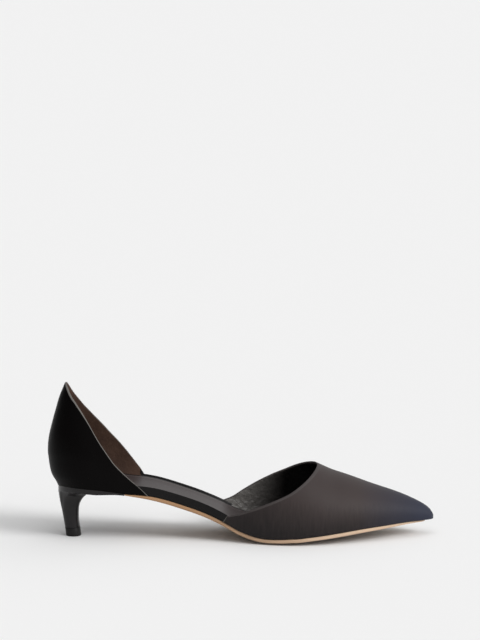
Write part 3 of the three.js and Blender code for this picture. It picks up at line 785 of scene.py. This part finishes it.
# %% Build the heel
SEAT_INSET = 0.2             # the cup's back and outline stand this far inside the bed's
SIDE_INSET = 0.1
SEAT_SLICES = 10             # columns on each side of the seat's middle line
SEAT_PITCH = 1.6
UNDER_RISE = 0.6             # share of the way up from the lip to the fillet, where the seat is wide
LIP_BEND = 0.45              # place of the extra ring that rounds the cup's lower edge
LIP_BULGE = 0.35             # how far that ring hangs below where the seat is narrow
SPREAD = 8                   # where the seat stands out less than this, the shaft is blended in
FILLET_STEPS, SHAFT_STEPS = 16, 8


def seat_point(x, v):
    side = "lateral" if v < 0 else "medial"
    return Vector((x, axis(x) + v * half_width(side, x, SIDE_INSET), bed(x, v)))


def border(rows):
    right = [row[0] for row in rows]
    left = [row[-1] for row in rows[:-1]][::-1]
    return right + rows[-1][1:] + left + rows[0][1:-1][::-1]


def round_shares(points, columns):
    """Share of the way round for each point, counted from the middle of the heel's back."""
    lengths = [0.0]
    for a, b in zip(points, points[1:] + points[:1]):
        lengths.append(lengths[-1] + (b.xy - a.xy).length)
    offset = lengths[-1] - lengths[len(points) - (columns - 2) // 2]
    return [(length + offset) / lengths[-1] for length in lengths[:-1]]


def fillet_ring(skin, near, low, gap, shares, a):
    ring = []
    for i, n in enumerate(near):
        part = clamp(gap[i] / SPREAD)
        k = mix(math.cos(a), 1 - math.sin(a), part)
        z = mix(FILLET_LOW, n.z, math.cos(a))
        level = shaft_ring([shares[i]], z)[0]
        base = mix(low[i].x, level.x, 1 - part)
        ring.append(skin.point((mix(base, n.x, k), mix(low[i].y, n.y, k), z)))
    return ring


def build_heel():
    skin = Skin()
    cols = [i / SEAT_SLICES for i in range(-SEAT_SLICES, SEAT_SLICES + 1)]
    xs = stations(SEAT_BACK + SEAT_INSET, LIP_REACH, SEAT_RADIUS - SEAT_INSET, 0, SEAT_PITCH)
    grid = [[seat_point(x, v) for v in cols] for x in xs]
    made = [[skin.point(p) for p in row] for row in grid]
    for i in range(len(xs) - 1):
        for j in range(len(cols) - 1):
            skin.face([made[i][j], made[i + 1][j], made[i + 1][j + 1], made[i][j + 1]])
    top, seat = border(made), border(grid)
    shares = round_shares(seat, len(cols))
    under = [p.z - mix(HEEL_LIP, LIP_TIP, ease(p.x, SEAT_BACK + SEAT_RADIUS, LIP_REACH)) for p in seat]
    low = shaft_ring(shares, FILLET_LOW)
    gap = [(p.xy - q.xy).length for p, q in zip(seat, low)]
    near, bend = [], []
    for p, q, z, g in zip(seat, low, under, gap):
        k = min(1.0, BREAST_RADIUS / g)
        wide = g > BREAST_RADIUS
        n = Vector((mix(q.x, p.x, k), mix(q.y, p.y, k), mix(z, FILLET_TOP, UNDER_RISE if wide else 0)))
        near.append(n)
        bend.append((mix(n.x, p.x, LIP_BEND), mix(n.y, p.y, LIP_BEND),
                     mix(n.z, z, LIP_BEND) - (0 if wide else LIP_BULGE)))
    rings = [top, [skin.point((p.x, p.y, z)) for p, z in zip(seat, under)]]
    rings.append([skin.point(p) for p in bend])
    for step in range(1, FILLET_STEPS + 1):
        rings.append(fillet_ring(skin, near, low, gap, shares, quarter_turn(step, FILLET_STEPS)))
    for step in range(1, SHAFT_STEPS + 1):
        level = mix(FILLET_LOW, SHAFT_END, step / SHAFT_STEPS)
        rings.append([skin.point(p) for p in shaft_ring(shares, level)])
    skin.tube(rings)
    skin.face(rings[-1])
    return skin


heel_skin = build_heel()
print("heel faces:", len(heel_skin.faces))

# %% Build the top piece
TOP_PIECE_SIDES = 48


def build_top_piece():
    skin = Skin()
    shares = [i / TOP_PIECE_SIDES for i in range(TOP_PIECE_SIDES)]
    _, back_share, front_share, half_share = SHAFT[-1]
    back, front, half = back_share * LENGTH, front_share * LENGTH, half_share * HALF_BALL
    rings = []
    for z, flare in TOP_PIECE[1:]:
        g, lean = flare * TOP_PIECE_FLARE, TOP_PIECE_LEAN * (1 - z / TOP_PIECE_HEIGHT)
        rings.append([skin.point(p) for p in oval(shares, back + lean, front + max(g, lean), half + g, z)])
    skin.tube(rings)
    skin.face(rings[0])
    skin.face(rings[-1])
    return skin


top_piece_skin = build_top_piece()
print("top piece faces:", len(top_piece_skin.faces))

# %% [markdown]
# ## Materials
# Colours are written as they look on a screen and turned into linear light by one function. One helper adds
# a node and sets its inputs, so a material reads as a short list. Patterns read Object coordinates, which
# are metres here, and `per_mm` turns a real size into the scale that a texture node wants.

# %% Material helpers
def linear(code):
    values = [int(code[i:i + 2], 16) / 255 for i in (1, 3, 5)]
    return [v / 12.92 if v <= 0.04045 else ((v + 0.055) / 1.055) ** 2.4 for v in values] + [1.0]


def per_mm(size):
    return 1000 / size


def node(material, kind, inputs=None, **settings):
    made = material.node_tree.nodes.new(kind)
    for key, value in settings.items():
        setattr(made, key, value)
    for key, value in (inputs or {}).items():
        if isinstance(value, bpy.types.NodeSocket):
            material.node_tree.links.new(value, made.inputs[key])
        else:
            made.inputs[key].default_value = value
    return made


def start_material(name):
    material = bpy.data.materials.new(name)
    material.use_nodes = True
    material.node_tree.nodes.clear()
    return material


def finish_material(material, shader):
    out = node(material, "ShaderNodeOutputMaterial")
    material.node_tree.links.new(shader.outputs[0], out.inputs["Surface"])
    return material


print("black leather in linear light:", [round(v, 4) for v in linear("#080606")])

# %% [markdown]
# Leather is dyed hide with a grain of small pebbles. Image textures could carry it, but noise and cells keep
# the same grain at any size. Where light or shade is painted along a piece, a second colour fades in along
# the shoe.

# %% Leather
CLOUD_MM = 14.3              # soft patches where the dye took unevenly
PEBBLE_DEPTH = 0.0002
FOLD_MM = 3.03               # small folds of a lining
FOLD_DEPTH = 0.0012


def leather(name, base, dark, roughness, grain_mm=0.9, depth=0.12, shine=0.2, wrinkle=0.0, painted_light_fade=None):
    """Two close colours mixed by soft noise and a pebble bump. Fade: colour at the back, from X, to X."""
    m = start_material(name)
    place = node(m, "ShaderNodeTexCoord").outputs["Object"]
    cloud = node(m, "ShaderNodeTexNoise", {"Vector": place, "Scale": per_mm(CLOUD_MM), "Detail": 4.0})
    tint = node(m, "ShaderNodeMix", {"Factor": cloud.outputs[0], 6: linear(base), 7: linear(dark)},
                data_type="RGBA")
    # The fade is painted light: a second colour takes over along the shoe.
    if painted_light_fade:
        colour, start, end = painted_light_fade
        axes = node(m, "ShaderNodeSeparateXYZ", {"Vector": place})
        painted_light_along_x = node(m, "ShaderNodeMapRange", {
            "Value": axes.outputs["X"], "From Min": start, "From Max": end})
        tint = node(m, "ShaderNodeMix", {"Factor": painted_light_along_x.outputs[0], 6: linear(colour), 7: tint.outputs[2]},
                    data_type="RGBA")
    pebble = node(m, "ShaderNodeTexVoronoi", {"Vector": place, "Scale": per_mm(grain_mm)})
    bump = node(m, "ShaderNodeBump", {
        "Height": pebble.outputs["Distance"], "Strength": depth, "Distance": PEBBLE_DEPTH})
    if wrinkle:
        folds = node(m, "ShaderNodeTexNoise", {"Vector": place, "Scale": per_mm(FOLD_MM), "Detail": 3.0})
        bump = node(m, "ShaderNodeBump", {
            "Height": folds.outputs[0], "Strength": wrinkle, "Distance": FOLD_DEPTH,
            "Normal": bump.outputs[0]})
    shader = node(m, "ShaderNodeBsdfPrincipled", {
        "Base Color": tint.outputs[2], "Roughness": roughness, "Specular IOR Level": shine,
        "Normal": bump.outputs[0]})
    return finish_material(m, shader)

# %% [markdown]
# The sock lining is wrapped over its edge. Its colour is darker along that edge, and a pale painted
# highlight line runs just inside the dark border. Both follow the outline, so this material reads the UV
# map, whose Y is the distance from the edge.

# %% Sock leather
SOCK_CLOUD_MM = 11.1
SOCK_GRAIN_MM = 0.909
HIGHLIGHT_LINE_GAP, HIGHLIGHT_LINE_HALF = 0.9, 0.35      # place of the painted highlight line inside the border, and half its width
BORDER_BLUR = 0.6


def bordered(name, base, dark, border, highlight_line, border_mm):
    m = start_material(name)
    coords = node(m, "ShaderNodeTexCoord")
    inward = node(m, "ShaderNodeSeparateXYZ", {"Vector": coords.outputs["UV"]}).outputs["Y"]
    cloud = node(m, "ShaderNodeTexNoise", {
        "Vector": coords.outputs["Object"], "Scale": per_mm(SOCK_CLOUD_MM), "Detail": 4.0})
    tint = node(m, "ShaderNodeMix", {"Factor": cloud.outputs[0], 6: linear(base), 7: linear(dark)},
                data_type="RGBA")
    # A pale line just inside the border is a painted highlight.
    near = node(m, "ShaderNodeMath", {0: inward, 1: border_mm + HIGHLIGHT_LINE_GAP, 2: HIGHLIGHT_LINE_HALF}, operation="COMPARE")
    with_highlight_line = node(m, "ShaderNodeMix", {"Factor": near.outputs[0], 6: tint.outputs[2], 7: linear(highlight_line)},
                 data_type="RGBA")
    inside = node(m, "ShaderNodeMapRange", {
        "Value": inward, "From Min": border_mm, "From Max": border_mm + BORDER_BLUR})
    shade = node(m, "ShaderNodeMix", {"Factor": inside.outputs[0], 6: linear(border), 7: with_highlight_line.outputs[2]},
                 data_type="RGBA")
    pebble = node(m, "ShaderNodeTexVoronoi", {
        "Vector": coords.outputs["Object"], "Scale": per_mm(SOCK_GRAIN_MM)})
    bump = node(m, "ShaderNodeBump", {
        "Height": pebble.outputs["Distance"], "Strength": 0.12, "Distance": PEBBLE_DEPTH})
    shader = node(m, "ShaderNodeBsdfPrincipled", {
        "Base Color": shade.outputs[2], "Roughness": 0.4, "Specular IOR Level": 0.35,
        "Normal": bump.outputs[0]})
    return finish_material(m, shader)

# %% [markdown]
# Satin is woven with long floating yarns, so it is smooth with a soft, wide shine. Its ribs are too fine to
# show from the camera, so they are drawn coarser, close to the size of a pixel, as a faint bump. Shade is
# painted into its colour, darker towards the sole and the waist, and a painted navy reflection fades in at
# the toe.

# %% Satin
YARN_MM = 1.43               # uneven patches of yarn, drawn out along the shoe
YARN_STRETCH = (1.0, 0.15, 0.15)
RIB_MM = 0.4488              # about 22 ribs to the centimetre
WAVE_TURNS = 20 / (2 * math.pi)      # bands that a wave texture of scale 1 draws in a metre
PAINTED_LIGHT_HEIGHTS = (0.006, 0.034)       # metres above the floor over which painted shade turns to painted light
PAINTED_LIGHT_REACH = (0.0, 0.05)            # places along the shoe from the painted shade of the waist to the painted light of the vamp
NAVY_REFLECTION_REACH = (0.078, 0.122)          # places along the shoe where the painted navy reflection fades in


def satin(name, base, dark, navy_reflection):
    m = start_material(name)
    place = node(m, "ShaderNodeTexCoord").outputs["Object"]
    axes = node(m, "ShaderNodeSeparateXYZ", {"Vector": place})
    yarn_place = node(m, "ShaderNodeMapping", {"Vector": place, "Scale": YARN_STRETCH})
    yarn = node(m, "ShaderNodeTexNoise", {
        "Vector": yarn_place.outputs[0], "Scale": per_mm(YARN_MM), "Detail": 3.0})
    # Painted shade: darker low down and towards the waist, lighter high on the vamp.
    high = node(m, "ShaderNodeMapRange", {
        "Value": axes.outputs["Z"], "From Min": PAINTED_LIGHT_HEIGHTS[0], "From Max": PAINTED_LIGHT_HEIGHTS[1]})
    painted_light_along_x = node(m, "ShaderNodeMapRange", {
        "Value": axes.outputs["X"], "From Min": PAINTED_LIGHT_REACH[0], "From Max": PAINTED_LIGHT_REACH[1],
        "To Min": 0.4, "To Max": 1.0})
    lit = node(m, "ShaderNodeMath", {0: high.outputs[0], 1: painted_light_along_x.outputs[0]}, operation="MULTIPLY")
    shade = node(m, "ShaderNodeMath", {0: yarn.outputs[0], 1: 0.5, 2: lit.outputs[0]},
                 operation="MULTIPLY_ADD")
    tint = node(m, "ShaderNodeMix", {"Factor": shade.outputs[0], 6: linear(dark), 7: linear(base)},
                data_type="RGBA")
    # Painted navy reflection, fading in towards the toe.
    toe = node(m, "ShaderNodeMapRange", {
        "Value": axes.outputs["X"], "From Min": NAVY_REFLECTION_REACH[0], "From Max": NAVY_REFLECTION_REACH[1]})
    navy_reflection_tint = node(m, "ShaderNodeMix", {"Factor": toe.outputs[0], 6: tint.outputs[2], 7: linear(navy_reflection)},
                data_type="RGBA")
    rib = node(m, "ShaderNodeTexWave", {
        "Vector": place, "Scale": per_mm(RIB_MM) / WAVE_TURNS, "Distortion": 1.5})
    bump = node(m, "ShaderNodeBump", {"Height": rib.outputs["Fac"], "Strength": 0.05, "Distance": 0.0001})
    shader = node(m, "ShaderNodeBsdfPrincipled", {
        "Base Color": navy_reflection_tint.outputs[2], "Roughness": 0.6, "Specular IOR Level": 0.2, "Sheen Weight": 0.08,
        "Sheen Roughness": 0.4, "Normal": bump.outputs[0]})
    return finish_material(m, shader)


# %% Materials of the shoe
# Woven satin with painted shade: dark low down and at the waist, lighter on the ridge, a painted navy
# reflection at the toe.
vamp_satin = satin("vamp ribbed satin", "#393130", "#09080a", "#282b39")
# The satin turned over the topline is drawn lighter than the vamp, a painted highlight; its weave is too
# small to show here.
fold_highlight_satin = leather("vamp folded edge painted highlight", "#4b4544", "#3e3939", 0.6)
# Smooth dyed calf: almost black, with only a broad dull shine.
counter_black = leather("counter black calf leather", "#080606", "#050404", 0.42, shine=0.05)
# Thinner leather folded over the low sides: a little more shine along its top.
band_leather = leather("side band black leather", "#0e0b0b", "#0a0808", 0.42, shine=0.18)
# Glossy lining, deep in shadow at the toe, with small folds that glint where it comes to the light;
# the pale colour fading in at its back is a painted highlight.
vamp_black = leather("vamp lining black leather", "#0f0e0e", "#090808", 0.34, shine=0.45, wrinkle=1.0,
                     painted_light_fade=("#696663", 0.0, 0.030))
# Thin brown lining leather with a few soft folds: hardly any shine.
counter_brown = leather("counter lining brown leather", "#553f33", "#3a2b25", 0.6, wrinkle=0.25)
# A thin grey line beside the black along the cut edges: a painted highlight.
edge_highlight_grey = leather("counter edge painted highlight", "#6b6864", "#55524f", 0.6)
# Smooth sock leather: a soft shine along the waist, a painted highlight line, and a darker border along the
# edge.
sock_leather = bordered("sock lining leather", "#3c3434", "#322b2b", "#151213", "#544b49", 2.4)
sock_edge = leather("sock lining edge", "#1e1a1c", "#171415", 0.5)
# Leather wrapped over the board's edge.
board_cover = leather("insole cover", "#242022", "#1a1718", 0.5)
# Trimmed natural leather, tan at the waist; the paler colour towards the toe is a painted highlight.
sole_edge = leather("sole edge natural leather", "#d2b89f", "#c2a68c", 0.5, painted_light_fade=("#a5805f", -0.03, 0.05))
# The same leather, brushed and a little greyer.
sole_tread = leather("sole tread leather", "#9c8a7a", "#8e7d6e", 0.6)
# Thin leather drawn tight over the heel: the grain is stretched flat, so it shines more than the counter.
heel_cover = leather("heel cover black leather", "#171415", "#120f10", 0.28, shine=0.3, depth=0.05)
# Moulded rubber: dark grey and dull.
top_rubber = leather("top piece rubber", "#1e1d1d", "#181717", 0.5)
print("materials:", len(bpy.data.materials))

# %% [markdown]
# ## The pieces
# Each skin becomes an object that rides the shoe's one body and takes the place of its solid. Edges sharper
# than a set angle stay crisp, and everything flatter is shaded smooth.

# %% Make the pieces
SHARP_ANGLE = 48
upper = upper_skin.make("upper_skin", [vamp_satin, counter_black, band_leather, vamp_black, counter_brown,
                                       edge_highlight_grey, fold_highlight_satin])
insole = insole_skin.make("insole_skin", [board_cover, board_cover])
sock = sock_skin.make("sock_skin", [sock_leather, sock_edge])
outsole = sole_skin.make("outsole_skin", [sole_edge, sole_edge, sole_tread])
heel = heel_skin.make("heel_skin", [heel_cover])
top_piece = top_piece_skin.make("top_piece_skin", [top_rubber])
for piece, name in [(upper, "upper"), (insole, "insole"), (sock, "sock_lining"), (outsole, "outsole"),
                    (heel, "heel"), (top_piece, "top_piece")]:
    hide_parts(name)
    piece.data.set_sharp_from_angle(angle=math.radians(SHARP_ANGLE))

# %% [markdown]
# ## Studio
# A pale floor that runs on to the horizon, a soft sun from the toe side, a wide one from above, and a sky
# that is brighter over the toe than over the heel. Both suns light the floor evenly. The Standard view keeps
# the backdrop as pale as it is in the photo.

# %% Floor
FLOOR_REACH = 14.0           # metres to each side
corners = [(-FLOOR_REACH, -FLOOR_REACH, 0), (FLOOR_REACH, -FLOOR_REACH, 0), (FLOOR_REACH, FLOOR_REACH, 0),
           (-FLOOR_REACH, FLOOR_REACH, 0)]
floor_mesh = bpy.data.meshes.new("floor")
floor_mesh.from_pydata(corners, [], [(0, 1, 2, 3)])
floor = bpy.data.objects.new("floor", floor_mesh)
bpy.context.scene.collection.objects.link(floor)
paper = start_material("studio paper")
paper_shader = node(paper, "ShaderNodeBsdfPrincipled", {
    "Base Color": linear("#f4f4f4"), "Roughness": 1.0, "Specular IOR Level": 0.0})
finish_material(paper, paper_shader)
floor_mesh.materials.append(paper)

# %% Light
world = bpy.data.worlds.new("studio")
bpy.context.scene.world = world
world.use_nodes = True
sky = world.node_tree.nodes["Background"]
direction = node(world, "ShaderNodeTexCoord").outputs["Generated"]
parts = node(world, "ShaderNodeSeparateXYZ", {"Vector": direction})
glow = node(world, "ShaderNodeMapRange", {
    "Value": parts.outputs["X"], "From Min": -0.6, "From Max": 0.9, "To Min": 0.17, "To Max": 0.96})
world.node_tree.links.new(glow.outputs[0], sky.inputs["Strength"])
sky.inputs["Color"].default_value = linear("#ffffff")


def sun(name, towards, strength, spread):
    data = bpy.data.lights.new(name, "SUN")
    data.energy = strength
    data.angle = math.radians(spread)
    lamp = bpy.data.objects.new(name, data)
    bpy.context.scene.collection.objects.link(lamp)
    lamp.rotation_euler = Vector(towards).to_track_quat("-Z", "Y").to_euler()


sun("key", (-0.75, 0.42, -0.56), 1.72, 26)
sun("overhead", (0.0, 0.35, -1.0), 0.6, 60)
bpy.context.scene.view_settings.view_transform = "Standard"
print("lights:", len(bpy.data.lights))

# %% Camera
CAMERA_PITCH = 9.2                           # degrees that it looks down
CAMERA_PLACE = (129.7, -1957.395, 463.966)   # from the shoe's own datum, as fitted to the photo
camera_data = bpy.data.cameras.new("camera")
camera_data.sensor_width = 36
camera_data.lens = 166.67
camera_data.clip_end = 50
camera = bpy.data.objects.new("camera", camera_data)
bpy.context.scene.collection.objects.link(camera)
camera.location = ((CAMERA_PLACE[0] + MOVE_X) * MM, (CAMERA_PLACE[1] + MOVE_Y) * MM, CAMERA_PLACE[2] * MM)
camera.rotation_euler = (math.radians(90 - CAMERA_PITCH), 0, 0)
bpy.context.scene.camera = camera
print("camera at:", [round(v, 3) for v in camera.location])
